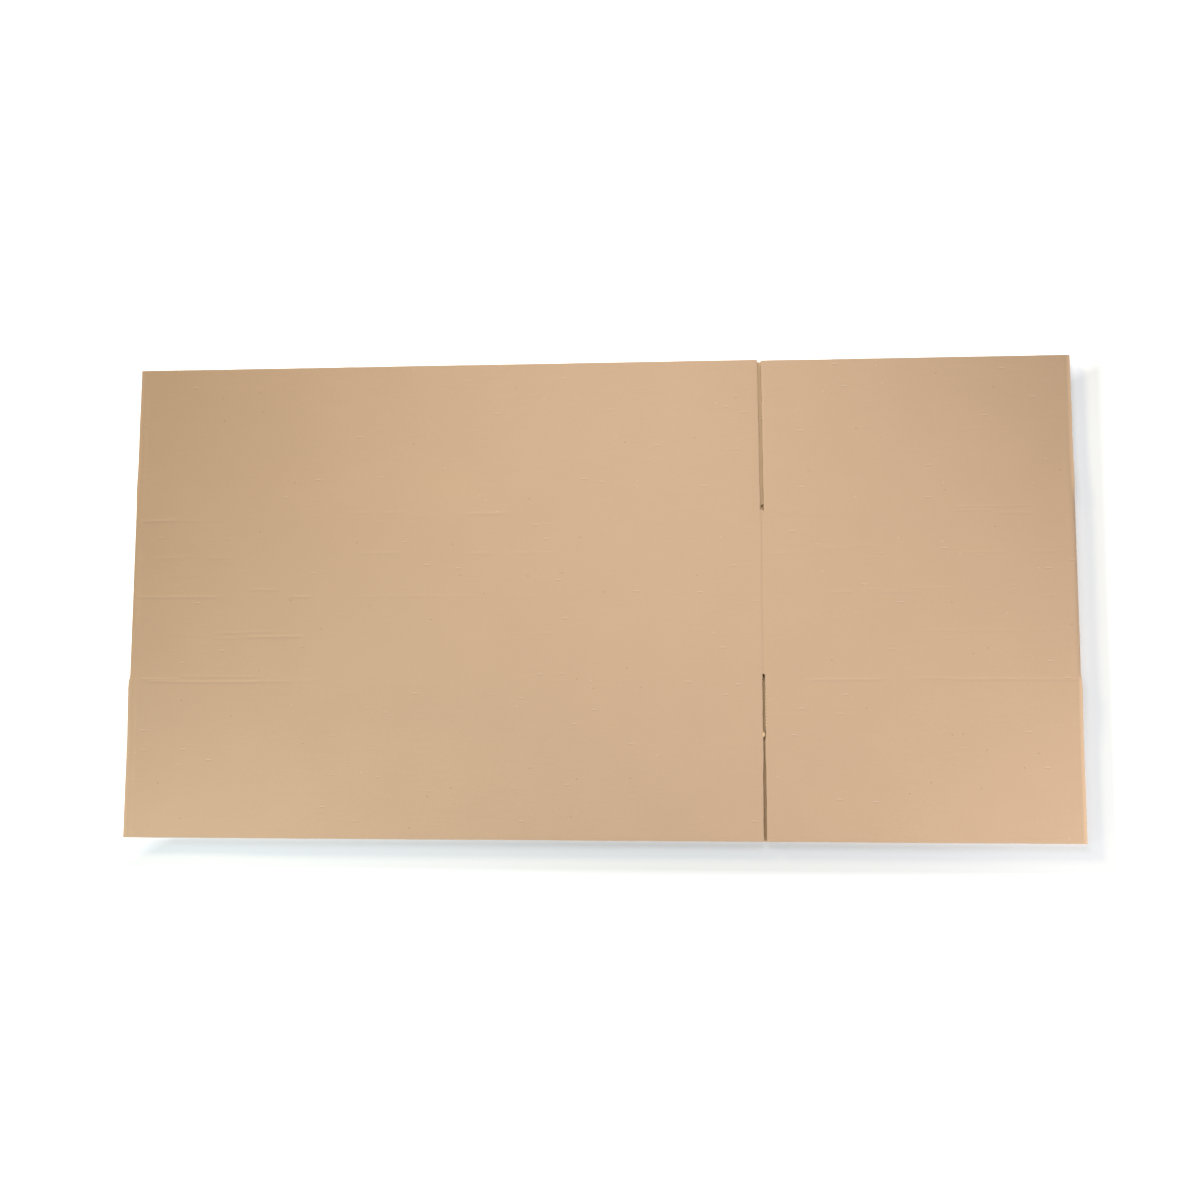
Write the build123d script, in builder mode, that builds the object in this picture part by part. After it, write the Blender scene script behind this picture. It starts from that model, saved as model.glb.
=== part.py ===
from build123d import *

import os
from math import atan2, degrees, floor, pi

# A regular slotted shipping box of corrugated board, glued at its maker's joint and folded flat.
# The flat box lies on its hidden side. X runs along the long panels, Y from the bottom flaps to
# the top flaps, and Z is up. The origin is at the middle of the underside.

# Inside size of the box once it is set up
inside_length = 602.0
inside_width = 288.0
inside_height = 150.0

# Corrugated board: two flat liners with a fluted medium between them
board = 4.0
liner = 0.4
medium = 0.3
flute_pitch = 7.8
crest_width = 1.2
medium_slant = 1.5
crushed_margin = 3.0

# Allowances that turn inside sizes into distances between creases
panel_allowance = 4.0
height_allowance = 8.0
flap_allowance = 2.0

# Slots between the flaps: at the top they stop short of the crease, at the bottom they pass it
slot_width = 3.5
top_slot_stop = 3.0
bottom_slot_overrun = 7.0

# Creases that the flaps and panels turn on, and fainter lines for cutting the box lower
crease_width = 3.0
crease_depth = 0.3
depth_line_pitch = 38.0
depth_line_count = 3
depth_line_width = 2.4
depth_line_depth = 0.12

# Maker's joint: a crushed tab on the long hidden panel, glued to the inside of the short one
tab_width = 35.0
tab_board = 2.6
tab_taper = 12.0
tab_clearance = 0.2
joint_gap = 3.0
joint_lead = 6.0

# Sizes of the blank
long_panel = inside_length + panel_allowance
short_panel = inside_width + panel_allowance
wall_height = inside_height + height_allowance
flap_length = short_panel / 2 + flap_allowance
blank_height = wall_height + 2 * flap_length

# Where the creases, edges and slot ends lie
left_crease = -(long_panel + short_panel) / 2
right_crease = left_crease + long_panel + short_panel
middle_crease = left_crease + long_panel
joint_crease = left_crease + short_panel
top_crease = wall_height / 2
bottom_crease = -wall_height / 2
top_edge = blank_height / 2
bottom_edge = -blank_height / 2
top_slot_end = top_crease + top_slot_stop
bottom_slot_end = bottom_crease + bottom_slot_overrun
sleeve_length = top_slot_end - bottom_slot_end
flap_zones = ((top_slot_end, top_edge), (bottom_edge, bottom_slot_end))

# The upper layer lies over the tab, and a fold is half a ring from one layer to the other.
# The fold's outer face is as long as it was in the flat blank, so the fold draws in a little.
layer_gap = tab_board + tab_clearance
upper_layer = board + layer_gap
top_face = upper_layer + board
fold_radius = top_face / 2
fold_centre = right_crease - fold_radius * pi / 2
flap_side = right_crease - slot_width / 2

# Tab
tab_start = joint_crease - joint_gap
tab_end = tab_start - tab_width
tab_root = joint_crease + joint_lead

# Channels between the flutes
channel_height = board - 2 * liner - medium
channel_step = flute_pitch / 2
medium_across = medium_slant * medium
middle_share = (board / 2 - liner) / channel_height
channel_base = (channel_step - medium_across - crest_width * middle_share) / (1 - middle_share)
flank_angle = degrees(atan2(channel_height, (channel_base - crest_width) / 2))

# Pressed lines across the box: place, width and depth
creases = [(place, crease_width, crease_depth) for place in (top_crease, bottom_crease)]
depth_lines = [(top_crease - depth_line_pitch * number, depth_line_width, depth_line_depth)
               for number in range(1, depth_line_count + 1)]


def panel_section(x_from, x_to, height):
    """A panel's section: a strip of board with its channels, by turns under and over the medium."""
    with Locations((x_from, height)):
        Rectangle(x_to - x_from, board, align=Align.MIN)
    count = floor((x_to - x_from - 2 * crushed_margin - channel_base) / channel_step) + 1
    first = (x_from + x_to - (count - 1) * channel_step) / 2
    places = [first + number * channel_step for number in range(count)]
    under = height + liner + channel_height / 2
    over = height + board - liner - channel_height / 2
    with Locations(*[(x, under) for x in places[0::2]]):
        Trapezoid(channel_base, channel_height, flank_angle, mode=Mode.SUBTRACT)
    with Locations(*[(x, over) for x in places[1::2]]):
        Trapezoid(channel_base, channel_height, flank_angle, rotation=180, mode=Mode.SUBTRACT)


def vee(width, depth):
    """A pressed line's section: width wide at the face, and depth deep."""
    Polygon((-width, depth), (width, depth), (0, -depth), align=None)


# Glue tab, with the step that lifts it over the panel that it is glued to
with BuildPart() as glue_tab:
    with BuildSketch(Plane.XZ.offset(-top_slot_end)) as tab_section:
        with BuildLine():
            Line((tab_root, 0), (tab_root, board))
            Spline((tab_root, board), (tab_start, board + tab_board), tangents=((-1, 0), (-1, 0)))
            Polyline((tab_start, board + tab_board), (tab_end, board + tab_board),
                     (tab_end, board), (tab_start, board))
            Spline((tab_start, board), (tab_root, 0), tangents=((1, 0), (1, 0)))
        make_face()
    extrude(amount=sleeve_length)
    with BuildSketch() as tab_outline:
        with BuildLine():
            Polyline((tab_root, bottom_slot_end), (tab_root, top_slot_end),
                     (tab_end, top_slot_end - tab_taper), (tab_end, bottom_slot_end + tab_taper),
                     close=True)
        make_face()
    extrude(amount=board + tab_board, mode=Mode.INTERSECT)

# Solid edges: the two folds between the ends of the slots, and the flaps' strips beside the slots
with BuildPart() as solid_edges:
    with BuildSketch(Plane.XZ.offset(-top_slot_end)) as fold_sections:
        with BuildLine():
            CenterArc((fold_centre, fold_radius), fold_radius, -90, 180)
            CenterArc((fold_centre, fold_radius), layer_gap / 2, -90, 180)
            Line((fold_centre, 0), (fold_centre, board))
            Line((fold_centre, upper_layer), (fold_centre, top_face))
        make_face()
        mirror(about=Plane.YZ)
    extrude(amount=sleeve_length)
    for start, end in flap_zones:
        with BuildSketch(Plane.XZ.offset(-end)) as flap_strips:
            for side in (-1, 1):
                with Locations((side * (fold_centre + flap_side) / 2, board / 2),
                               (side * (fold_centre + flap_side) / 2, upper_layer + board / 2)):
                    Rectangle(flap_side - fold_centre, board)
            with Locations((joint_crease + slot_width / 2, 0)):
                Rectangle(joint_lead - slot_width / 2, board, align=Align.MIN)
        extrude(amount=end - start)

# What is cut through the upper layer or pressed into the outer faces
with BuildPart() as cuts:
    for start, end in flap_zones:
        with BuildSketch(Plane.XY.offset(upper_layer)):
            with Locations((middle_crease, (start + end) / 2)):
                Rectangle(slot_width, end - start)
        extrude(amount=2 * board)
    with BuildSketch(Plane.XZ.offset(-top_slot_end)):
        with Locations((middle_crease, top_face)):
            vee(crease_width, crease_depth)
    extrude(amount=sleeve_length)
    with BuildSketch(Plane.YZ.offset(-flap_side)):
        for place, width, depth in creases + depth_lines:
            with Locations((place, top_face)):
                vee(width, depth)
            with Locations((place, 0)):
                vee(width, -depth)
    extrude(amount=2 * flap_side)

with BuildPart() as folded_box:
    with BuildSketch(Plane.XZ.offset(bottom_edge)) as panels:
        panel_section(-fold_centre, middle_crease, upper_layer)
        panel_section(middle_crease, fold_centre, upper_layer)
        panel_section(-fold_centre, tab_start, 0)
        panel_section(tab_root, fold_centre, 0)
    extrude(amount=blank_height, clean=False)
    add([solid_edges.part, glue_tab.part], clean=False)
    add(cuts.part, mode=Mode.SUBTRACT, clean=False)

folded_box.part.label = "folded_box"
os.makedirs("parts", exist_ok=True)
export_step(folded_box.part, "parts/folded_box.step")
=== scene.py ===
# %% [markdown]
# # A cardboard box, folded flat
# This file dresses the measured model of a shipping box that was folded flat and left on a pale
# floor. The measured model is the frame: it says where each crease, slot and edge is. This file
# adds what a drawing leaves out, such as the papers of the board, its flutes and its wear.

# %% Load the frame
from math import cos, pi, radians, sin

import bpy
import numpy as np
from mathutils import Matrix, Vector


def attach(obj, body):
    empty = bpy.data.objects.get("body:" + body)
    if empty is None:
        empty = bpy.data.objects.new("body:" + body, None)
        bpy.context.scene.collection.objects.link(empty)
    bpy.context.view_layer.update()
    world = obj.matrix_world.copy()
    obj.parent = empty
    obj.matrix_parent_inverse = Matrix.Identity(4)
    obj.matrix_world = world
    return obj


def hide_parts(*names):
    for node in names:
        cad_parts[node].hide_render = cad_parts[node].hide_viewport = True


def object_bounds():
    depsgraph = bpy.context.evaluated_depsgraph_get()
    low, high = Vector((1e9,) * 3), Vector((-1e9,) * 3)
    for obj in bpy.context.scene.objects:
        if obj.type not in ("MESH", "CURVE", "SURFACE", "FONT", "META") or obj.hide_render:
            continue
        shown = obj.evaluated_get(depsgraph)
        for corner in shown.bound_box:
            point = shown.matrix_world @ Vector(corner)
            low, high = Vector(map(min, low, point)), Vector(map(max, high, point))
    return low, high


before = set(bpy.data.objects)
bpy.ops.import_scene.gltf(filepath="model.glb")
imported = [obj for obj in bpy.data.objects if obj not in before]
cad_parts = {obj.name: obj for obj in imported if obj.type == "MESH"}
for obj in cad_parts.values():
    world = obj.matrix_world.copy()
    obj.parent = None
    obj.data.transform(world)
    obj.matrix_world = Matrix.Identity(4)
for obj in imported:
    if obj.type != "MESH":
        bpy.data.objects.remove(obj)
cad_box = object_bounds()


def rounded(box):
    """The two corners of a box in metres, rounded to a hundredth of a millimetre."""
    return [tuple(round(value, 5) for value in corner) for corner in box]


print("nodes", list(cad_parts), "box", rounded(cad_box))

# %% [markdown]
# ## Camera
# The photo was taken from almost straight above, a little to the right of the middle and a little
# below it. A wrong viewpoint spoils every later comparison, so the camera comes first. Its place
# and its lens were worked out from the box's four edges, and it has no lens distortion.

# %% Camera
camera_data = bpy.data.cameras.new("camera")
camera_data.lens = 41.43
camera_data.sensor_width = 36.0
camera_data.clip_start, camera_data.clip_end = 0.05, 50.0
camera = bpy.data.objects.new("camera", camera_data)
camera.location = (0.1016, -0.1501, 1.2978)
camera.rotation_euler = [radians(angle) for angle in (6.501, 4.222, 0.147)]
bpy.context.collection.objects.link(camera)
bpy.context.scene.camera = camera
print("camera at", tuple(camera.location), "lens", camera_data.lens)

# %% [markdown]
# ## The sizes of the flat box
# These are the frame's own sizes in millimetres, which suit board and paper better than metres do.
# They are turned into metres once, when a point is folded. Only the middle crease differs from the
# frame: it stands 1.6 mm further right, where the photo shows it.

# %% Sizes
MM = 0.001

# The two layers together, one layer of board, the paper on each of its faces, and one flute
STACK = 10.8
BOARD = 4.0
LINER = 0.4
FLUTE = 7.8

# The upright creases, the flap creases, the free edges of the flaps, and the slots
CREASE_X = 449.0
MIDDLE_X = 158.6
JOINT_X = -157.0
FLAP_CREASE_Y = 79.0
EDGE_Y = 227.0
SLOT_TOP_Y = 82.0
SLOT_BOTTOM_Y = -72.0
HALF_SLOT = 1.75

# A fold is as long as the outer face was in the flat blank
FOLD_RADIUS = STACK / 2
FOLD_LENGTH = FOLD_RADIUS * pi
FOLD_X = CREASE_X - FOLD_LENGTH / 2

# The glue tab: its root, the edge of the panel that it is glued to, its end, board and taper
TAB_ROOT, TAB_START, TAB_END = -151.0, -160.0, -195.0
TAB_BOARD = 2.6
TAB_TAPER = 12.0
print("fold centres at x", round(FOLD_X, 2), "slots at", MIDDLE_X)

# Places along the flat blank, measured from the middle of the upper layer
RIGHT_END = 2 * FOLD_X + FOLD_LENGTH - TAB_ROOT
RIGHT_FLAP_END = 2 * FOLD_X + FOLD_LENGTH - JOINT_X - HALF_SLOT
LEFT_END = -(2 * FOLD_X + FOLD_LENGTH + TAB_START)
print("blank runs from", round(LEFT_END, 1), "to", round(RIGHT_END, 1))

# %% [markdown]
# ## Soft steps, bells and uneven lines
# Board bends softly and paper tears unevenly, so nearly every shape below is made of three curves:
# a soft step, a bell and a wavering line. Noise could give the uneven line too, but a sum of a few
# sines is smooth at any grid, and its seed gives the same line each time.


# %% Curves
def ease(t):
    """A soft step from 0 to 1: three t squared less two t cubed, with t held between 0 and 1."""
    t = np.clip(t, 0.0, 1.0)
    return t * t * (3 - 2 * t)


def bell(t, width, power=2):
    """1 at t = 0, falling off to both sides: e to the power of minus t over the width, where t
    over the width is squared, or raised to a higher even power for a flatter top."""
    return np.exp(-((t / width) ** power))


def waves(t, seed, longest, shortest, count=7):
    """A gentle, uneven line, mostly between -1 and 1 and never past 3: a sum of sines whose
    lengths run from the longest to the shortest, each with a phase drawn from its own seed."""
    draw = np.random.default_rng(seed)
    lengths = np.geomspace(longest, shortest, count)
    phases = draw.uniform(0, 2 * pi, count)
    weights = draw.uniform(0.5, 1.0, count) * np.linspace(1.0, 0.55, count)
    total = sum(w * np.sin(2 * pi * t / n + p) for w, n, p in zip(weights, lengths, phases))
    return total / np.sqrt((weights**2).sum())


print("halfway up a soft step:", ease(0.5), "at a bell's width:", round(bell(1.0, 1.0), 3))

# %% [markdown]
# ## How the flat box lies
# A folded box isn't quite flat. Its folds stay a little open, its upper layer sags between them,
# and its flaps, which no fold holds, spring straight and rest on the flaps under them. Lattices or
# cloth could bend it so, but a few soft steps put each hollow where the photo's shading has it.


# %% How the layers lie
def in_flaps(y, margin=0.0):
    """True beyond the inner ends of the slots, less a margin, where the flaps are apart."""
    return (y > SLOT_TOP_Y - margin) | (y < SLOT_BOTTOM_Y + margin)


def past_fold_start(s):
    """How far a point is inside its fold, along the paper from the nearer end of the fold. Outside
    the fold it is less than 0."""
    run = np.abs(s) - FOLD_X
    return np.minimum(run, FOLD_LENGTH - run)


def unbent(y):
    """How far a flap's side has sprung flat: 0 at the end of its slot, 1 further out. It takes
    26 mm at the top, where the slot stops short of the crease, and 8 mm at the bottom."""
    return ease((y - SLOT_TOP_Y) / 26.0) + ease((SLOT_BOTTOM_Y - y) / 8.0)


def spread(s, y):
    """How much wider than a half circle the fold is: 1.1 mm at the left and 1.3 mm at the right
    below, and 1.4 mm at both above, by a soft step. The flaps pull it open, most at the top."""
    least = np.where(s < 0, 1.1, 1.3)
    return least + (1.4 - least) * ease((y + 60) / 130)


def sag(s, y):
    """How far the upper layer hangs towards the lower one. In the panels each span between a fold
    and the glue tab has a smooth hollow, a little deeper at the top. The flaps have no fold to
    hold them up, so they come to rest on the flaps under them, soft over 60 mm from the crease."""
    out = np.maximum(y - FLAP_CREASE_Y, -FLAP_CREASE_Y - y)
    long_span = ease((FOLD_X - s) / 150) * ease((s + 140) / 150)
    short_span = 0.6 * ease((FOLD_X + s) / 90) * ease((-205 - s) / 90)
    towards_top = ease((y - SLOT_BOTTOM_Y) / (SLOT_TOP_Y - SLOT_BOTTOM_Y))
    panel = (1.3 + 1.1 * towards_top) * (long_span + short_span)
    flap = np.where(y > 0, 2.5, 1.5 + 0.6 * ease((np.abs(s) - 300) / 100))
    share = ease(out / 60)
    return (panel * (1 - share) + flap * share) * (np.abs(s) < CREASE_X)


middle_of_flap = (FLAP_CREASE_Y + EDGE_Y) / 2
print("the upper layer hangs", [round(float(sag(0.0, y)), 2) for y in (0.0, middle_of_flap)])

# %% [markdown]
# ## From the flat blank to the folded one
# The real box is one sheet that a machine folds. The mesh does the same: each point has a place s
# along the flat blank, a height y and a depth d under the outer paper, and one function folds it.
# That keeps every paper, flute and edge in line round the folds, which moving points by hand
# wouldn't.

# %% Folding
# Two over the power of the superellipse: 1 would be a half circle, and less is squarer
SQUARENESS = 0.714


def fold(s, y, d):
    """The folded place of a point of the blank. Up to the fold's centre the upper layer is flat.
    Past it the outer face follows a superellipse: width times sine to the power 0.714 across, and
    radius times cosine to the power 0.714 up. A point at depth d lies square under that face. A
    flap that has sprung flat runs straight on. The lower layer is the same, upside down, and the
    glue tab steps up over the end of the short panel."""
    side = np.where(s < 0, -1.0, 1.0)
    run = np.abs(s) - FOLD_X
    bent = past_fold_start(s)
    angle = pi * np.maximum(bent, 0.0) / FOLD_LENGTH
    sine, cosine = np.sin(angle), np.maximum(np.cos(angle), 0.0)
    width = FOLD_RADIUS + spread(s, y)
    across = sine ** (2 - SQUARENESS) / width
    up = cosine ** (2 - SQUARENESS) / FOLD_RADIUS
    size = np.hypot(across, up)
    round_x = np.minimum(bent, 0.0) + width * sine**SQUARENESS - d * across / size
    round_z = FOLD_RADIUS * (1 + cosine**SQUARENESS) - d * up / size
    flat = unbent(y)
    x = FOLD_X + round_x * (1 - flat) + bent * flat
    z = round_z * (1 - flat) + (STACK - d) * flat - sag(s, y)
    step = ease((s - RIGHT_END) / (TAB_ROOT - TAB_START))
    lower = BOARD * step + d * (1 - step * (1 - TAB_BOARD / BOARD))
    z = np.where(run > FOLD_LENGTH, lower, np.where(run > FOLD_LENGTH / 2, STACK - z, z))
    return np.stack([side * x, y, z], axis=-1) * MM


nose = fold(np.array([CREASE_X - 0.1]), np.array([0.0]), np.array([0.0]))
print("the fold's nose is at", nose.round(5).tolist())

# %% [markdown]
# ## Sheets
# A sheet is a grid of lines along and across the blank, without the cells that the slots cut away.
# A Boolean could cut the slots, but it would leave long, thin faces beside them. A grid that has a
# line at each side of a slot only has to leave some cells out.


# %% Sheets
def every_cell(s, y):
    """True for every cell of the grid."""
    return np.full(np.broadcast(s, y).shape, True)


def blank_cells(s, y):
    """True where the blank has board: between the slots' ends everywhere up to the glue tab, and
    past them only in the four flaps at the top and the four at the bottom."""
    slot = (np.abs(np.abs(s) - CREASE_X) < HALF_SLOT) | (np.abs(s - MIDDLE_X) < HALF_SLOT)
    flaps = in_flaps(y)
    return (s > LEFT_END) & (~flaps & (s < RIGHT_END) | flaps & ~slot & (s < RIGHT_FLAP_END))


def sheet(s_lines, y_lines, keep=blank_cells):
    """A grid of points on all the lines, and its four-sided faces where keep says so. The faces
    run anticlockwise as seen from outside. Points without a face are left out."""
    s_lines, y_lines = np.unique(np.round(s_lines, 4)), np.unique(np.round(y_lines, 4))
    s, y = np.meshgrid(s_lines, y_lines)
    number = np.arange(s.size).reshape(s.shape)
    faces = np.stack([number[:-1, :-1], number[:-1, 1:], number[1:, 1:], number[1:, :-1]], axis=-1)
    middle_s = (s_lines[:-1] + s_lines[1:])[None, :] / 2
    middle_y = (y_lines[:-1] + y_lines[1:])[:, None] / 2
    faces = faces[keep(middle_s, middle_y)]
    used, packed = np.unique(faces, return_inverse=True)
    return s.ravel()[used], y.ravel()[used], packed.reshape(faces.shape)


print("a sheet of 2 by 3 lines has", len(sheet([0, 1], [0, 1, 2], every_cell)[2]), "faces")

# %% [markdown]
# ## Papers with a thickness
# A real paper has two sides and a cut edge. Here it is two copies of a sheet at two depths, joined
# by a wall along each free edge. Solidify could make the thickness too, but then the flutes and
# the two papers wouldn't meet.


# %% Shells and pieces
def shell(points, faces, outer, inner, finishes, painted_shading=0.0):
    """A closed solid from one sheet: its points placed at the outer depth, again at the inner
    depth with the faces turned round, and a wall on each edge that only one face has. finishes
    gives the material numbers of the outer side, the inner side and the walls, and
    painted_shading how much lighter or darker each outer point is painted, which is painted
    highlight and painted shade."""
    s, y = points
    count = len(s)
    placed = np.concatenate([fold(s, y, outer), fold(s, y, inner)])
    edges = np.stack([faces, np.roll(faces, -1, axis=1)], axis=-1).reshape(-1, 2)
    key = edges.min(axis=1) * count + edges.max(axis=1)
    _, back, times = np.unique(key, return_inverse=True, return_counts=True)
    free = edges[times[back] == 1]
    walls = np.stack([free[:, 1], free[:, 0], free[:, 0] + count, free[:, 1] + count], axis=-1)
    quads = np.concatenate([faces, faces[:, ::-1] + count, walls])
    slots = np.repeat(finishes, [len(faces), len(faces), len(walls)])
    return placed, quads, slots, np.concatenate([painted_shading + np.zeros(count), np.zeros(count)])


def make_piece(name, shells, materials, sharp=40):
    """One mesh object from several shells, in metres, with smooth shading except at edges that
    turn by more than the sharp angle."""
    starts = np.cumsum([0] + [len(part[0]) for part in shells[:-1]])
    vertices = np.concatenate([part[0] for part in shells])
    quads = np.concatenate([part[1] + start for part, start in zip(shells, starts)])
    slots = np.concatenate([part[2] for part in shells]).astype(np.int32)
    mesh = bpy.data.meshes.new(name)
    mesh.from_pydata(vertices.tolist(), [], quads.tolist())
    for material in materials:
        mesh.materials.append(material)
    mesh.polygons.foreach_set("material_index", slots)
    # Each point's painted highlight and painted shade, which the paper's colour reads
    painted_shading = mesh.attributes.new("painted_shading", "FLOAT", "POINT")
    painted_shading.data.foreach_set("value", np.concatenate([part[3] for part in shells]))
    mesh.shade_smooth()
    mesh.set_sharp_from_angle(angle=radians(sharp))
    mesh.update()
    piece = bpy.data.objects.new(name, mesh)
    bpy.context.collection.objects.link(piece)
    print(name, len(vertices), "points", 2 * len(quads), "triangles")
    return piece


print("shells and pieces ready")

# %% [markdown]
# ## Shader maths as Python
# Node trees are easier to read as sums. This small class wraps a socket, so that adding or
# multiplying two values adds the Math node for it. Every other node comes from one method.


# %% Values and nodes
class Value:
    """A number or a colour that changes over a surface: one output socket, with the operators
    that are used here."""

    def __init__(self, nodes, socket):
        self.nodes, self.socket = nodes, socket

    def combine(self, operation, *numbers):
        sockets = dict(enumerate(numbers))
        return self.nodes.node("ShaderNodeMath", {"operation": operation}, sockets)

    def __add__(self, other):
        return self.combine("ADD", self, other)

    def __sub__(self, other):
        return self.combine("SUBTRACT", self, other)

    def __rsub__(self, other):
        return self.combine("SUBTRACT", other, self)

    def __mul__(self, other):
        return self.combine("MULTIPLY", self, other)

    def __abs__(self):
        return self.combine("ABSOLUTE", self)

    def larger(self, other):
        return self.combine("MAXIMUM", self, other)

    __radd__ = __add__
    __rmul__ = __mul__


class Nodes:
    """A node tree, for a material or for the world."""

    def __init__(self, tree):
        self.tree = tree

    def node(self, kind, settings=None, sockets=None, output=0):
        """Any node: its settings are set first, then each socket gets a value or a link. What
        comes back is one of its outputs, if it has any."""
        made = self.tree.nodes.new(kind)
        for name, value in (settings or {}).items():
            setattr(made, name, value)
        for name, value in (sockets or {}).items():
            if isinstance(value, Value):
                self.tree.links.new(value.socket, made.inputs[name])
            else:
                made.inputs[name].default_value = value
        return Value(self, made.outputs[output]) if made.outputs else None


print("values and nodes ready")

# %% [markdown]
# ## Patterns that follow the paper
# What a paper looks like changes from place to place: clouds, fibres and spots. Each pattern here
# is worked out from the point's own place on the object, in metres, so it needs no unwrapping and
# no picture, and it is as sharp from near as from far.


# %% Finishes
def ink(colour, factor=1.0):
    """A colour with its alpha, made lighter or darker by a factor, with no part over 1."""
    return (*[min(1.0, factor * part) for part in colour], 1.0)


class Finish(Nodes):
    """One material's node tree, with its surface shader and its object coordinates."""

    def __init__(self, name, **constants):
        self.material = bpy.data.materials.new(name)
        self.material.use_nodes = True
        super().__init__(self.material.node_tree)
        self.shader = self.tree.nodes["Principled BSDF"]
        for socket, value in constants.items():
            self.shader.inputs[socket.replace("_", " ")].default_value = value

    def feed(self, socket, value):
        """Links a value to a socket of the surface shader."""
        self.tree.links.new(value.socket, self.shader.inputs[socket])

    def place(self, scale=(1, 1, 1), shift=(0, 0, 0)):
        """The point's own place in metres, times a scale for each axis, plus a shift."""
        here = self.node("ShaderNodeTexCoord", output="Object")
        sockets = {"Vector": here, "Scale": scale, "Location": shift}
        return self.node("ShaderNodeMapping", sockets=sockets)

    def noise(self, size, stretch=(1, 1, 1), detail=2.0, roughness=0.5):
        """Soft cloudy noise from 0 to 1, whose spots are about size across in millimetres, times
        the stretch along each axis."""
        per_metre = [1000.0 / size / factor for factor in stretch]
        sockets = {"Vector": self.place(per_metre), "Scale": 1.0, "Detail": detail,
                   "Roughness": roughness}
        return self.node("ShaderNodeTexNoise", sockets=sockets, output="Fac")

    def spots(self, scale, cell, shift=(0, 0, 0)):
        """Two values of a flat Voronoi pattern: how far the nearest spot's middle is, as a share of
        a cell, and a random number from 0 to 1 for that spot. The number is the pattern's blue,
        because its red and green are the spot's own place in its cell, and would line spots up."""
        settings = {"feature": "F1", "voronoi_dimensions": "2D"}
        sockets = {"Vector": self.place(scale, shift), "Scale": 1.0 / cell}
        far = self.node("ShaderNodeTexVoronoi", settings, sockets)
        pick = self.node("ShaderNodeTexVoronoi", settings, sockets, output=1)
        return far, self.node("ShaderNodeSeparateColor", sockets={0: pick}, output=2)

    def band(self, value, low, high, to_low=0.0, to_high=1.0):
        """value between low and high, stretched to another range and held inside it."""
        sockets = {0: value, 1: low, 2: high, 3: to_low, 4: to_high}
        return self.node("ShaderNodeMapRange", {"clamp": True}, sockets)

    def tint(self, colour, factor, other):
        """A colour mixed with another by a factor."""
        settings = {"data_type": "RGBA", "blend_type": "MIX"}
        return self.node("ShaderNodeMix", settings, {0: factor, 6: colour, 7: other}, output=2)

    def paint(self, colour, height, depth):
        """Gives the surface its colour, and a bump of the height times the depth in
        millimetres."""
        sockets = {"Height": height, "Strength": 1.0, "Distance": depth * MM}
        self.feed("Base Color", colour)
        self.feed("Normal", self.node("ShaderNodeBump", sockets=sockets))
        return self.material


print("finishes ready, white is", ink((1, 1, 1)))

# %% [markdown]
# ## Kraft paper
# The faces are brown kraft paper: matt, with faint clouds where the pulp was thicker, short fibres
# that lie across the flutes, a few dark and light flecks, and short scuffs from handling. Noise
# stretched along X gives the fibres. A spot of a Voronoi pattern is round, so sparse spots give the
# flecks, and sparse spots of a pattern that is drawn out along X give the scuffs.

# %% Kraft paper
# Half of what clouds, streaks and grain add up to, which leaves the paper's own colour
MIDDLE_SHADE = 0.085
DARK_FLECK, LIGHT_FLECK = (0.16, 0.09, 0.045), (0.9, 0.75, 0.6)
# Each kind of scuff: a shift that keeps it apart from the other kind, its strength and its colour
SCUFFS = ((0.0, 0.28, (0.95, 0.78, 0.6)), (0.9, 0.23, (0.3, 0.19, 0.1)))


def kraft(name, colour, contrast=1.0):
    """Kraft paper of one colour. Clouds, streaks and grain change its lightness by a few percent,
    and so do the painted highlight and painted shade of each point. Flecks of about a millimetre
    and scuffs of a few millimetres tint it where the random number of a spot is near 0 or 1, and
    they fade out between two distances from its middle."""
    paper = Finish(name, Roughness=0.88, Specular_IOR_Level=0.25)
    clouds = paper.noise(55, detail=3)
    streaks = paper.noise(2.2, stretch=(14, 1, 1))
    grain = paper.noise(0.9, stretch=(3, 1, 1), detail=3, roughness=0.6)
    # Painted highlight and painted shade, read from each point
    painted_shading = paper.node("ShaderNodeAttribute", {"attribute_name": "painted_shading"}, output="Fac")
    shade = clouds * 0.05 + streaks * 0.03 + grain * 0.09
    shade = (shade - MIDDLE_SHADE) * contrast + painted_shading
    base = paper.tint(ink(colour, 0.8), paper.band(shade, -0.2, 0.2), ink(colour, 1.2))
    far, chance = paper.spots((1000, 1500, 1000), 11.0)
    near = paper.band(far, 0.035, 0.1, 1.0, 0.0)
    dark = near * paper.band(chance, 0.982, 0.988)
    light = near * paper.band(chance, 0.008, 0.012, 1.0, 0.0)
    base = paper.tint(base, dark * 0.36, ink(DARK_FLECK))
    base = paper.tint(base, light * 0.40, ink(LIGHT_FLECK))
    for shift, strength, mark in SCUFFS:
        far, chance = paper.spots((190, 1000, 190), 9.0, (0.0, shift, 0.0))
        scuff = paper.band(far, 0.035, 0.085, 1.0, 0.0) * paper.band(chance, 0.86, 0.95)
        base = paper.tint(base, scuff * strength, ink(mark))
    return paper.paint(base, grain * 0.6 + streaks * 0.4, depth=0.02)


face_paper = kraft("kraft_face", (0.664, 0.466, 0.293))
# Its own kraft colour is made lighter than the face's, as painted light that lifts the shaded floor
# of the slots
inner_paper = kraft("kraft_inside", (0.91, 0.62, 0.345))
flute_paper = kraft("kraft_flutes", (0.50, 0.34, 0.215), contrast=1.4)
print("kraft papers", [paper.name for paper in (face_paper, inner_paper, flute_paper)])
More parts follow.
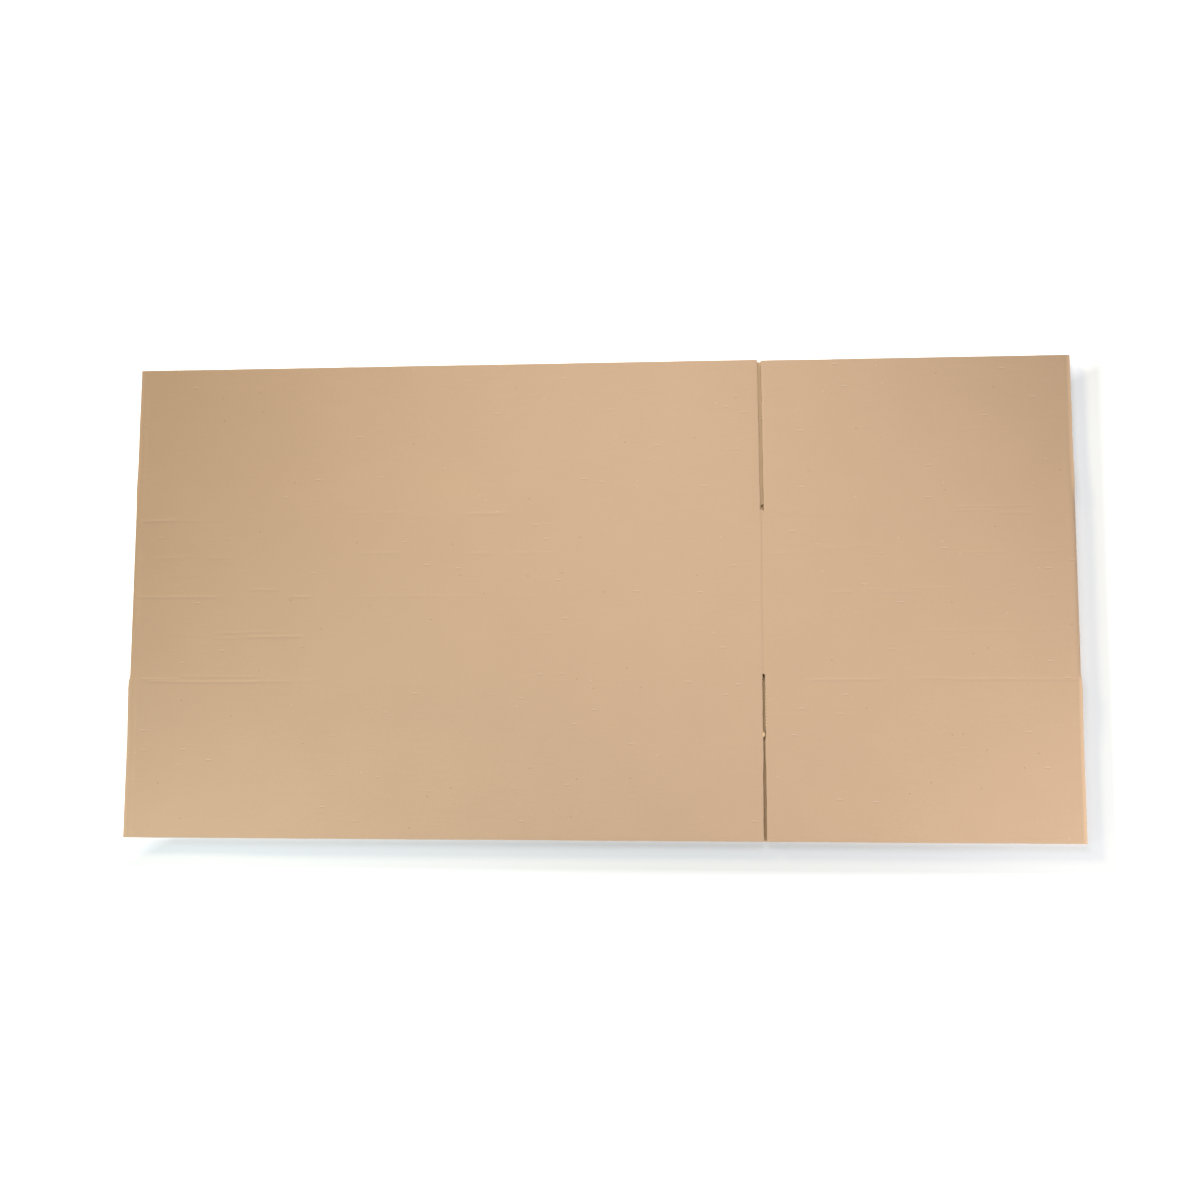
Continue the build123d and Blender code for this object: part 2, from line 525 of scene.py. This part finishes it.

# %% [markdown]
# ## Cut and torn paper
# Where board is cut, the paper's fibres stand out as a pale fuzz. The scraps torn deep in a slot
# are painted dark, which is painted shade. Hair could make the fuzz, but it is far finer than a
# pixel here, so noise in the colour and a bump do.


# %% Cut and torn paper
def cut_edge(name, colour):
    """The fuzzy cut edge of paper. Its colour runs from 0.62 to 1.15 times the one given, by fine
    noise for the fuzz and coarser noise for blots, and the fuzz is also its bump."""
    edge = Finish(name, Roughness=0.95, Specular_IOR_Level=0.15)
    fuzz = edge.noise(0.5, detail=3, roughness=0.7)
    blots = edge.noise(4.0)
    share = edge.band(fuzz * 0.6 + blots * 0.4, 0.3, 0.65)
    return edge.paint(edge.tint(ink(colour, 0.62), share, ink(colour, 1.15)), fuzz, depth=0.12)


edge_paper = cut_edge("cut_edge", (0.6, 0.44, 0.3))
# Painted shade: the near-black paper of the scraps deep at the slots' inner ends
scrap_shade_paper = kraft("kraft_scrap_shade", (0.27, 0.16, 0.075))
FACE, INSIDE, FLUTES, EDGE, SCRAP_SHADE = range(5)
PAPERS = [face_paper, inner_paper, flute_paper, edge_paper, scrap_shade_paper]
print("papers", [paper.name for paper in PAPERS])

# %% [markdown]
# ## Pressed lines
# A machine presses the board where it will bend. From outside each line is a low bead, steeper on
# its upper side. The beads are strongest near the folds and nearly vanish in the middle. A bump map
# could fake them, but their shade has to turn with the light, so they are real height on a grid
# that is fine across the lines and coarse along them. On top of that, the colour has painted
# highlight on each bead's upper side and painted shade in the groove under it. That is a number
# on each point, which the paper's colour reads.

# %% Pressed lines
# Room over the outer face for the beads, the height of a full bead, how much painted highlight and
# painted shade a bead gets, and the length over which a dash fades in or out
LIFT = 0.7
BEAD = 0.26
PAINTED_BEAD_HIGHLIGHT, PAINTED_GROOVE_SHADE = 0.07, 0.046
FADE = 7

# For each line's height: where each dash starts and ends, how far it is above and its strength
DASHES = {
    79.0: ((-438, -404, -2.5, 0.9), (-401, -358, -2.5, 0.25), (-226, -217, 3.5, 0.5),
           (-203, -185, 3.5, 0.5), (-121, -85, 2.0, 1.0), (197, 222, -2.0, 0.4),
           (339, 407, 4.0, 0.6), (339, 373, 0.5, 0.5), (373, 408, -2.5, 0.6)),
    41.0: ((-425, -395, -1.0, 0.4), (-371, -350, -1.0, 0.5), (-359, -348, -5.0, 0.4),
           (-227, -188, 2.5, 0.45), (-121, -92, 1.5, 0.5), (-80, -39, 1.5, 0.4),
           (165, 182, -1.0, 0.35), (212, 237, 4.0, 0.4), (237, 269, 6.0, 0.35),
           (334, 383, -1.0, 0.4), (409, 431, -1.0, 0.5)),
    3.0: ((-441, -364, -1.0, 0.8), (-332, -303, 6.0, 0.7), (-292, -271, -1.0, 0.9),
          (-229, -105, -1.5, 0.3), (-80, -49, -2.0, 0.25), (222, 242, 0.5, 0.5),
          (251, 266, 3.0, 0.5), (266, 300, 0.5, 0.5), (295, 334, 3.5, 0.4),
          (415, 428, -4.0, 0.5)),
    -35.0: ((-361, -337, 2.5, 0.7), (-337, -308, 3.5, 0.6), (-361, -345, -2.5, 0.5),
            (-334, -279, -1.5, 1.0), (-53, -33, 1.0, 0.5), (305, 445, 2.5, 0.35),
            (328, 341, -4.5, 0.4), (366, 378, -4.5, 0.4)),
    -79.0: ((-435, -398, 2.0, 0.9), (-427, -321, -0.5, 1.1), (-398, -321, 4.5, 0.7),
            (-321, -291, 0.0, 0.7), (-282, -261, 1.0, 0.25), (-41, -30, 0.0, 0.5),
            (27, 38, 0.0, 0.4), (200, 269, 1.0, 0.9), (300, 334, 2.0, 0.7),
            (334, 445, 1.0, 0.9)),
}


def beside_slot(s, y):
    """How far a point of the upper layer is from the side of a middle slot, and a mask that is 1
    beyond the slots' inner ends, where there is a slot, and 0 between them."""
    between = ease((SLOT_TOP_Y - y) / 2) * ease((y - SLOT_BOTTOM_Y) / 2)
    return np.maximum(np.abs(s - MIDDLE_X) - HALF_SLOT, 0), 1 - between


def relief(s, y):
    """Height of the outer face over its level, and how much lighter or darker the paper is painted.
    A pressed line is a faint bell-shaped bead all along, with stronger dashes on it and beside it.
    A bead is steeper on its upper side, which gets painted highlight, and the groove under it gets
    painted shade. Where the board starts to bend an upright bead runs, with painted highlight. The
    noses of the folds get painted highlight, and the middle crease between the slots painted shade."""
    height, painted_shading = np.zeros_like(s), np.zeros_like(s)
    faint = np.where(np.abs(s) > CREASE_X, 0.4, 0.08)
    for number, (line, dashes) in enumerate(DASHES.items()):
        wander = 0.25 * waves(s, 31 + number, 500, 60)
        for start, end, above, strength in ((-2000, 2000, 0.0, faint), *dashes):
            along = strength * ease((s - start) / FADE + 0.5) * ease((end - s) / FADE + 0.5)
            t = y - line - above - wander
            height += BEAD * along * bell(t, np.where(t > 0, 0.9, 1.25))
            # Painted highlight on the bead's upper side and painted shade in the groove under it
            painted_shading += PAINTED_BEAD_HIGHLIGHT * along * bell(t - 0.8, 0.7)
            painted_shading -= PAINTED_GROOVE_SHADE * along * bell(t + 1.4, 1.0)
    bent, left = past_fold_start(s), s < 0
    upright = bell(bent + 0.5, 1.9) * np.clip(0.6 + 0.6 * waves(y + s, 41, 160, 30), 0, 1.2)
    height += 0.08 * upright
    # Painted highlight on the upright bead and on the noses of the folds, by different amounts at
    # the left and the right
    painted_shading += upright * np.where(left, 0.035, 0.012)
    painted_shading += np.where(left, 0.07, 0.2) * ease((bent - 2.5) / 3)
    # Painted shade along the middle crease between the slots
    painted_shading -= 0.06 * bell(s - MIDDLE_X, 0.9) * (1 - beside_slot(s, y)[1])
    return np.clip(height, 0, LIFT - 0.01), painted_shading


print("pressed lines at y", list(DASHES), "dashes", sum(len(row) for row in DASHES.values()))

# %% [markdown]
# ## Squeezed board
# Board gives way where it is punched, creased or bent: it is thinner beside a slot, rounded at its
# edges, and dented round a fold. Sculpting could show that, but these are small, regular dips, so
# each is a depth that is added to the outer face.


# %% Squeezed board
def level(s, y):
    """Depth of the outer face where nothing is pressed. It leaves room for the beads, and round
    the folds it rises to a tenth of a millimetre under the frame."""
    return LIFT - (LIFT - 0.1) * ease(past_fold_start(s) / 4) * (1 - unbent(y))


def crush(s, y):
    """How much thinner the board is where the punch squeezed it: 0.2 mm at the side of a slot,
    falling off as a bell 4.5 mm wide."""
    away, slotted = beside_slot(s, y)
    return 0.2 * slotted * bell(away, 4.5)


def hollows(s, y):
    """Depth of what is pressed in. Between the slots the upright crease is a narrow bell, 0.4 mm
    deep, with a soft one of 0.06 mm round it. Beside the slots the face rounds down by 0.15 mm,
    and over the last 2 mm of the flaps by 0.12 mm."""
    away, slotted = beside_slot(s, y)
    t = s - MIDDLE_X
    crease = (1 - slotted) * (0.4 * bell(t, 0.75) + 0.06 * bell(t, 3.0))
    return crease + 0.15 * slotted * bell(away, 0.8) + 0.12 * ease((np.abs(y) - EDGE_Y + 2.0) / 2.0)


def wrinkles(s, y):
    """Depth of small dents where the paper is squeezed round a fold: an uneven line along it,
    strongest at the fold's nose."""
    turn = np.clip(1 - np.abs(np.abs(s) - CREASE_X) / (FOLD_LENGTH / 2), 0, 1)
    return 0.05 * turn * np.maximum(1 + waves(y + s * 0.4, 71, 60, 7), 0)


beside = float(crush(MIDDLE_X + HALF_SLOT, EDGE_Y))
print("beside a slot the board is thinner by", round(beside, 2), "mm")

# %% [markdown]
# ## Slot edges
# A slot is punched, so its edges are a little ragged and its ends aren't square. On this box the
# bottom slot has closed by up to 1.5 mm, it has one nick, and the top slot leans to the left. A
# painted edge could darken the slot, but only moved points let the layer under it show as much as
# it does in the photo. Only what is within 8 mm of the slot moves.

# %% Slot edges
NICK_Y = -129.0


def drawn_in(y):
    """How far each side of the bottom slot has moved in: 0.45 mm, 0.75 mm near y -142, where a bell
    of power 4 is added, and 0.3 mm past y -162. At the top it is 0."""
    inner = 0.45 + 0.3 * bell(y + 142, 14, 4)
    return np.where(y > 0, 0.0, inner - 0.15 * ease((-150 - y) / 12))


def lean(y):
    """How far the top slot leans to the left: a soft step down to 1.25 mm at the free edge."""
    return -1.3 * ease((y - 60) / 190)


def rag(s, y, seed, amount=0.12):
    """Moves the two sides of the middle slot: in by drawn_in, out by 0.5 mm at the nick in the
    right side, and along an uneven line times the amount. What is 1.6 mm from a side stays."""
    t = s - MIDDLE_X
    right = t > 0
    share = np.clip(1 - np.abs(np.abs(t) - HALF_SLOT) / 1.6, 0, 1) * in_flaps(y, 0.01)
    nick = 0.5 * right * bell(y - NICK_Y, 3.5)
    uneven = amount * waves(y + 90 * right, seed, 40, 8, 8)
    return s + share * (nick - np.sign(t) * drawn_in(y) + uneven)


def slot_end(s, y):
    """Moves the inner ends of the slots: they aren't cut square, so the right corner of the top
    slot is about 1 mm lower than the left, and the bottom slot stops 0.9 to 1.5 mm short."""
    t = s - MIDDLE_X
    near = np.clip(1 - (np.abs(t) - HALF_SLOT) / 0.8, 0, 1)
    uneven = 0.2 * waves(s, 57, 3.5, 1.1, 5)
    top = 1.1 * ease((t + 0.2) / 1.4) + uneven
    bottom = 0.9 + 0.4 * ease((t + 0.5) / 1.5) + uneven
    down = top * bell(y - SLOT_TOP_Y, 1.5) + bottom * bell(y - SLOT_BOTTOM_Y, 1.5)
    return y - near * down


slot_widths = 2 * (HALF_SLOT - drawn_in(np.array([150.0, -100.0, -142.0, -200.0])))
print("slot widths at y 150, -100, -142 and -200:", slot_widths.round(2).tolist())

# %% [markdown]
# ## Flap edges
# The free edges of the flaps were cut by wheels, so they are nearly straight, but no two flaps are
# quite as long. Scaling a flap would shift its creases, so each edge is moved by itself.


# %% Flap edges
def flap_edge(s, y, seed):
    """Moves the free edge of each flap in along an uneven line, by 0.02 to 0.28 mm. At the top the
    right upper flap is 0.7 mm shorter still, and the long flap under both is 1.4 mm shorter. The
    shift grows in proportion from 100 mm out to the edge."""
    out = np.clip((np.abs(y) - 100) / (EDGE_Y - 100), 0, 1)
    short = 0.7 * ((s > MIDDLE_X) & (s < CREASE_X) & (y > 0)) + 1.4 * ((s > CREASE_X) & (y > 0))
    wander = 0.08 * np.where(y > 0, waves(s, seed, 260, 9), waves(s, seed + 1, 260, 9))
    return y - np.sign(y) * out * (short + np.maximum(0.12 + wander, 0.02))


def side_edge(s, y):
    """Moves the flaps' outer sides in by 0.03 to 0.3 mm, away from the fold's crease, and what is
    within 8 mm of the middle slot by the slot's lean."""
    near = np.clip(1 - np.abs(np.abs(np.abs(s) - CREASE_X) - HALF_SLOT) / 2.5, 0, 1)
    inward = np.maximum(0.14 + 0.09 * waves(y, 91, 70, 5), 0.03) * near * in_flaps(y)
    towards_crease = np.sign(s) * np.sign(CREASE_X - np.abs(s))
    beside = np.clip(1 - (np.abs(s - MIDDLE_X) - HALF_SLOT) / 8, 0, 1)
    return s - towards_crease * inward + lean(y) * beside


corner_y = flap_edge(np.array([-300.0, 300.0]), np.array([EDGE_Y, EDGE_Y]), 61)
print("the upper flaps end at y", corner_y.round(2).tolist())

# %% [markdown]
# ## Grid lines
# A grid is only as good as its lines. The outer paper is the part that shows, so it has close lines
# at each pressed line, at the folds and along the slots, and few where it is plain. Subdividing the
# whole sheet would need many times the points.

# %% Grid lines
to_flap_side = np.linspace(0, CREASE_X - HALF_SLOT - FOLD_X, 6)
fold_run = np.concatenate([to_flap_side, [CREASE_X - FOLD_X], FOLD_LENGTH - to_flap_side])
near_fold = FOLD_X - np.array([0.8, 2.4, 5.0, 9.0])
past_fold = 2 * FOLD_X + FOLD_LENGTH - near_fold
fold_lines = np.concatenate([near_fold, FOLD_X + fold_run, past_fold])
from_middle = np.array([0.25, 0.7, 1.2, HALF_SLOT, 2.3, 3, 4.2, 6, 9])
middle_lines = MIDDLE_X + np.concatenate([-from_middle, from_middle])
upper_lines = np.concatenate([np.arange(-426, -180, 6.5), np.arange(-175, MIDDLE_X - 12, 12.0),
                              np.arange(MIDDLE_X + 14, 428, 6.5)])
lower_lines = np.concatenate([np.linspace(LEFT_END, -472, 14), np.linspace(472, RIGHT_END, 26),
                              [RIGHT_FLAP_END]])
s_lines = np.concatenate([-fold_lines, fold_lines, middle_lines, upper_lines, lower_lines])

must_have = np.array([SLOT_TOP_Y, SLOT_BOTTOM_Y, EDGE_Y, -EDGE_Y])
bead_lines = np.concatenate([[-7.6, -6.6], np.arange(-5.8, 7.4, 0.6), [8.2]])
pressed_lines = np.concatenate([line + bead_lines for line in DASHES])
flap_lines = np.concatenate([np.arange(SLOT_TOP_Y + 9, EDGE_Y, 4.0),
                             np.arange(-EDGE_Y, SLOT_BOTTOM_Y - 12, 4.0),
                             [EDGE_Y - 2, EDGE_Y - 1, 1 - EDGE_Y, 2 - EDGE_Y]])
panel_lines = np.arange(-66, 75, 8.0)


def thin_out(lines, keep, least):
    """Drops lines that are closer than least to the one before, but never one that is in keep."""
    lines = np.unique(np.round(lines, 4))
    keep = np.round(keep, 4)
    chosen = [lines[0]]
    for line in lines[1:]:
        if line in keep:
            while chosen[-1] not in keep and line - chosen[-1] < least:
                chosen.pop()
            chosen.append(line)
        elif line - chosen[-1] >= least:
            chosen.append(line)
    return np.array(chosen)


y_lines = np.concatenate([pressed_lines, flap_lines, panel_lines, must_have])
y_lines = thin_out(y_lines, must_have, 0.5)
print(len(np.unique(np.round(s_lines, 4))), "lines along the blank and", len(y_lines), "across it")

# %% [markdown]
# ## The outer paper
# This is the brown face of the board. It is one paper from end to end, so it is one closed solid
# that carries all the beads and dents, and the painted highlight and painted shade on them. Its
# inner side stays where the flutes are glued, and the paper is at least 0.2 mm thick where
# something is pressed in.

# %% The outer paper
THINNEST = 0.2

s, y, faces = sheet(s_lines, y_lines)
height, painted_shading = relief(s, y)
face_depth = level(s, y) + crush(s, y)
outer_depth = face_depth - np.minimum(height, level(s, y)) + hollows(s, y) + wrinkles(s, y)
inner_depth = np.maximum(face_depth + LINER, outer_depth + THINNEST)
cut = side_edge(rag(s, y, 51), y), slot_end(s, flap_edge(s, y, 61))
outer_shell = shell(cut, faces, outer_depth, inner_depth, (FACE, FLUTES, EDGE), painted_shading)
print("outer paper", len(s), "places")

# %% [markdown]
# ## The inner paper and the glue tab
# The inner paper only shows in the slots and at the cut edges, so its grid is coarse. The glue tab
# is a strip of board at the end of the blank, squeezed thin and glued inside the other end. Both
# follow the same folding as the outer paper, which keeps them in line with it.

# %% The inner paper and the glue tab
beyond_top = SLOT_TOP_Y + np.array([2, 4.5, 8, 12, 18])
beyond_bottom = SLOT_BOTTOM_Y - np.array([1.5, 3, 5, 7])
coarse_y = np.concatenate([np.linspace(SLOT_TOP_Y, EDGE_Y, 14), beyond_top,
                           np.linspace(-EDGE_Y, SLOT_BOTTOM_Y, 14), beyond_bottom,
                           np.linspace(SLOT_BOTTOM_Y, SLOT_TOP_Y, 6)])
slot_sides = MIDDLE_X + np.array([-HALF_SLOT, HALF_SLOT, -5, 5])
coarse_s = np.concatenate([-fold_lines, fold_lines, slot_sides, upper_lines[::3], lower_lines])
s, y, faces = sheet(coarse_s, coarse_y)
cut = side_edge(rag(s, y, 53, 0.25), y), flap_edge(s, y, 61)
inner_shell = shell(cut, faces, BOARD - LINER, BOARD, (FLUTES, INSIDE, EDGE))

tab_length = TAB_ROOT - TAB_END
tab_s = RIGHT_END + np.concatenate([np.linspace(0, TAB_ROOT - TAB_START, 9), [20, 30, tab_length]])
s, y, faces = sheet(tab_s, np.linspace(SLOT_BOTTOM_Y, SLOT_TOP_Y, 20), every_cell)
taper = TAB_TAPER * (s - RIGHT_END) / tab_length
middle = (SLOT_TOP_Y + SLOT_BOTTOM_Y) / 2
y = middle + (y - middle) * (1 - taper / (SLOT_TOP_Y - middle))
tab_shell = shell((s, y), faces, 0.0, BOARD, (FACE, INSIDE, EDGE))
print("inner paper", len(inner_shell[0]), "points, glue tab", len(tab_shell[0]), "points")

# %% [markdown]
# ## Bits of paper in the slots
# A punch leaves small frays along a slot, scraps at its inner ends, and here one curled burr and a
# row of lifted flakes beside the bottom slot. They could be scattered as copies of one scrap, but
# the photo shows where the larger ones are, so each is a strip of its own. The sizes of the frays
# and flakes are drawn at random.


# %% Bits of paper in the slots
def tuft(side, y_middle, length, reach, under=0.95, paper=FACE, shift=0.0, grid=(5, 7)):
    """A bit of paper at the left (-1) or right (1) side of the slot: a strip along Y that reaches
    over it by the reach times one less nine tenths of the square of the place along the strip. It
    lies under millimetres below the face, and a quarter of its reach lower at its tip. shift moves
    it to the right."""
    columns, rows = grid
    u, v, faces = sheet(np.linspace(0, 1, columns), np.linspace(-1, 1, rows), every_cell)
    out = reach * (1 - 0.9 * v**2) * (u if side < 0 else u - 1)
    root = MIDDLE_X + lean(y_middle) + side * (HALF_SLOT - drawn_in(y_middle) + 0.1) + shift
    depth = LIFT + under + 0.25 * np.abs(out)
    places = root + out, y_middle + length / 2 * v
    return shell(places, faces, depth, depth + 0.25, (paper, FLUTES, EDGE))


draw = np.random.default_rng(7)
frays = [(1, start - 2.8 * n) for start in (-109.5, -145.5) for n in range(4)]
frays += [(-1, -146.0 - 2.9 * n) for n in range(7)]
frays += [(1, place) for place in (-76.5, -84, -92, -101, 88, 111, 160)]
frays += [(-1, place) for place in (-80, -97, -118, 92, 135, -190)]
bits = [tuft(side, place, draw.uniform(0.9, 1.7), draw.uniform(0.35, 0.8))
        for side, place in frays]
# The burr stands up from the slot's side, and the lighter inner paper gives it a painted highlight
bits.append(tuft(-1, NICK_Y, 6.0, 2.5, -0.06, INSIDE, shift=-0.5, grid=(7, 13)))

# At the slots' inner ends: side, place, length, reach, depth under the face and paper
SCRAPS = ((1, 83.4, 1.6, 1.5, 0.95, SCRAP_SHADE), (-1, 81.9, 1.3, 1.0, 0.95, FACE),
          (1, 86.0, 3.0, 2.6, 1.5, SCRAP_SHADE), (-1, 82.6, 1.4, 1.6, 1.2, SCRAP_SHADE),
          (1, -73.6, 2.6, 2.4, 1.5, SCRAP_SHADE), (-1, -76.5, 3.0, 1.4, 1.5, SCRAP_SHADE))
# The dark scrap paper on these scraps is painted shade
bits += [tuft(*scrap) for scrap in SCRAPS]

# The flakes start at the slot's right side and lie on the face beside it
for place in -88.5 - 3.2 * np.arange(11):
    length, reach = draw.uniform(1.1, 2.0), draw.uniform(0.9, 1.5)
    to_right_side = 2 * (HALF_SLOT - drawn_in(place))
    bits.append(tuft(-1, place, length, reach, -0.25, INSIDE, to_right_side))
print(len(bits), "bits of paper in the slots")

kraft_sheet = make_piece("kraft_sheet", [outer_shell, inner_shell, tab_shell] + bits, PAPERS)

# %% [markdown]
# ## The fluted paper
# Between the two papers runs a third one in waves, glued to both at its crests. It shows at every
# cut edge, which is how anyone tells corrugated board from plain card. Each wave is a cosine, and
# the paper keeps its thickness because it is measured square to the slope.

# %% The fluted paper
# The paper's thickness, how deep its crests sit in the glue, and how many lines a flute gets
MEDIUM = 0.28
BITE = 0.03
LINES_PER_FLUTE = 10


def flute_lines(start, end):
    """Places along the blank for the flutes: ten to each flute, from start to end."""
    count = int(round((end - start) / FLUTE * LINES_PER_FLUTE))
    return np.linspace(start, end, max(2, count + 1))


spans = ((LEFT_END, -CREASE_X - HALF_SLOT), (-CREASE_X + HALF_SLOT, MIDDLE_X - HALF_SLOT),
         (MIDDLE_X + HALF_SLOT, CREASE_X - HALF_SLOT), (CREASE_X + HALF_SLOT, RIGHT_END))
creases_and_end = [-CREASE_X, MIDDLE_X, CREASE_X, RIGHT_FLAP_END]
flute_s = np.concatenate([flute_lines(*span) for span in spans] + [creases_and_end])
flute_y = np.array([-EDGE_Y, 40 - EDGE_Y, -120, SLOT_BOTTOM_Y - 7, SLOT_BOTTOM_Y - 3.5,
                    SLOT_BOTTOM_Y, SLOT_TOP_Y, SLOT_TOP_Y + 6, SLOT_TOP_Y + 12, SLOT_TOP_Y + 18,
                    140, EDGE_Y - 40, EDGE_Y])
s, y, faces = sheet(flute_s, flute_y)
phase = 2 * pi * s / FLUTE
centre = (LIFT + BOARD) / 2
swing = (BOARD - LIFT - 2 * LINER - MEDIUM) / 2 + BITE
squeeze = 1 - 0.45 * bell(np.abs(s) - CREASE_X, 7.0) * (unbent(y) < 0.01)
pressed = crush(s, y) / 2
wave_depth = centre + pressed + (swing * squeeze - pressed) * np.cos(phase)
slope = 2 * pi / FLUTE * swing * np.sin(phase)
half = MEDIUM / 2 * np.sqrt(1 + slope**2)
flute_cut = flap_edge(s, y, 61) - np.sign(y) * 0.25 * (np.abs(y) > EDGE_Y - 1)
fluted_shell = shell((side_edge(s, y), flute_cut), faces, wave_depth - half, wave_depth + half,
                     (FLUTES, FLUTES, EDGE))
fluted_sheet = make_piece("fluted_sheet", [fluted_shell], PAPERS, sharp=60)

# %% [markdown]
# ## Riding on the frame
# The real box is one glued piece, so both papers belong to the frame's one body. Each piece is
# told which body it moves with, and the measured part that they stand for is hidden. Parenting
# by hand could do that too.

# %% Riding on the frame
for piece in (kraft_sheet, fluted_sheet):
    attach(piece, "root")
    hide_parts("folded_box")
print("both papers ride on the box")

# %% [markdown]
# ## Light
# The photo has a soft studio light: it is even, a little brighter towards the lower right, and one
# low lamp at the upper left throws a short, soft shadow. Each lamp is given by its distance, its
# height angle, its direction and its share of the light at the middle of the box. Round area lamps
# give soft shadows at little cost, and shares are easier to match to a photo than watts are.

# %% Lamps
# For each lamp: distance in metres, height angle and direction in degrees, its shares of red,
# green and blue, and its width in metres
LAMPS = {"low_left": (3.0, 22.0, 133.0, (0.204, 0.174, 0.120), 0.45),
         "front_left": (0.70, 31.8, 223.0, (0.144, 0.157, 0.167), 0.45),
         "front_right": (0.92, 29.6, -33.6, (0.201, 0.195, 0.207), 0.5),
         "back": (0.70, 65.0, 75.3, (0.476, 0.478, 0.520), 0.5)}
for name, (distance, lift, around, shares, width) in LAMPS.items():
    lift, around = radians(lift), radians(around)
    lamp_data = bpy.data.lights.new(name, "AREA")
    lamp_data.shape = "DISK"
    lamp_data.size = width
    lamp_data.energy = max(shares) * pi * pi * distance**2 / sin(lift)
    lamp_data.color = [share / max(shares) for share in shares]
    lamp = bpy.data.objects.new(name, lamp_data)
    way = Vector((cos(lift) * cos(around), cos(lift) * sin(around), sin(lift)))
    lamp.location = way * distance
    lamp.rotation_euler = (-way).to_track_quat("-Z", "Y").to_euler()
    lamp.visible_camera = False
    bpy.context.collection.objects.link(lamp)
print("lamps", list(LAMPS))

# %% [markdown]
# ## Floor
# The box lies on a white sheet. The floor's own white comes from its colour and from a glow that
# only the camera sees, so it adds no light to the box. The glow is dimmed in a band round the
# lower and the right side of the box, where the photo's shadow is, so the shadow stays.

# %% Floor
FLOOR_Z, REACH = -0.0002, 6.0

paint = Finish("white_floor", Roughness=1.0, Specular_IOR_Level=0.0)
paint.shader.inputs["Base Color"].default_value = ink((0.875, 0.905, 0.865))
paint.shader.inputs["Emission Strength"].default_value = 1.0
across, upward = [paint.node("ShaderNodeSeparateXYZ", sockets={0: paint.place()}, output=axis)
                  for axis in (0, 1)]
half_x, half_y = cad_box[1][0], cad_box[1][1]
away = (abs(across) - half_x).larger(abs(upward) - half_y)
lower_right = across * (1 / half_x) - upward * (1 / half_y)
shaded = paint.band(away, 0.026, 0.06, 1.0, 0.0) * paint.band(lower_right, -0.05, 0.12)
# Painted light: away from the dimmed band the glow washes out the shadows that the box casts to its
# upper and left sides, and the last term adds glow within 6 mm of the box, which lifts the shadow
# where the box meets the floor
low_glow = (paint.band(upward, -0.2, 0.15, 0.02, 0.25) + paint.band(across, -0.1, 0.3, 0.09, 0.0)
            + paint.band(away, 0.001, 0.006, 0.1, 0.0))
glow = 1 - shaded * (1 - low_glow)
rays = [paint.node("ShaderNodeLightPath", output=kind)
        for kind in ("Is Camera Ray", "Is Glossy Ray", "Is Transmission Ray")]
seen = rays[0] + rays[1] + rays[2]
paint.feed("Emission Color", paint.tint(ink((0, 0, 0)), glow * seen, ink((1, 1, 1))))

floor_mesh = bpy.data.meshes.new("floor")
corners = [(-REACH, -REACH), (REACH, -REACH), (REACH, REACH), (-REACH, REACH)]
floor_mesh.from_pydata([(x, y, FLOOR_Z) for x, y in corners], [], [(0, 1, 2, 3)])
floor_mesh.materials.append(paint.material)
floor = bpy.data.objects.new("floor", floor_mesh)
bpy.context.collection.objects.link(floor)
print("floor", 2 * REACH, "m wide")

# %% [markdown]
# ## World
# Past the floor the photo is plain white. A bright world would light the box from all sides and
# wash out its shading, so the world is white only where the camera sees it, and gives the box just
# enough light to open up the shadows.

# %% World
world = bpy.data.worlds.new("studio")
bpy.context.scene.world = world
world.use_nodes = True
world.node_tree.nodes.clear()
sky = Nodes(world.node_tree)
dim, bright = [sky.node("ShaderNodeBackground",
                        sockets={"Color": ink((1, 1, 1)), "Strength": strength})
               for strength in (0.03, 1.0)]
by_camera = sky.node("ShaderNodeLightPath", output="Is Camera Ray")
mixed = sky.node("ShaderNodeMixShader", sockets={0: by_camera, 1: dim, 2: bright})
sky.node("ShaderNodeOutputWorld", sockets={"Surface": mixed})
bpy.context.scene.view_settings.view_transform = "Standard"
print("world ready")
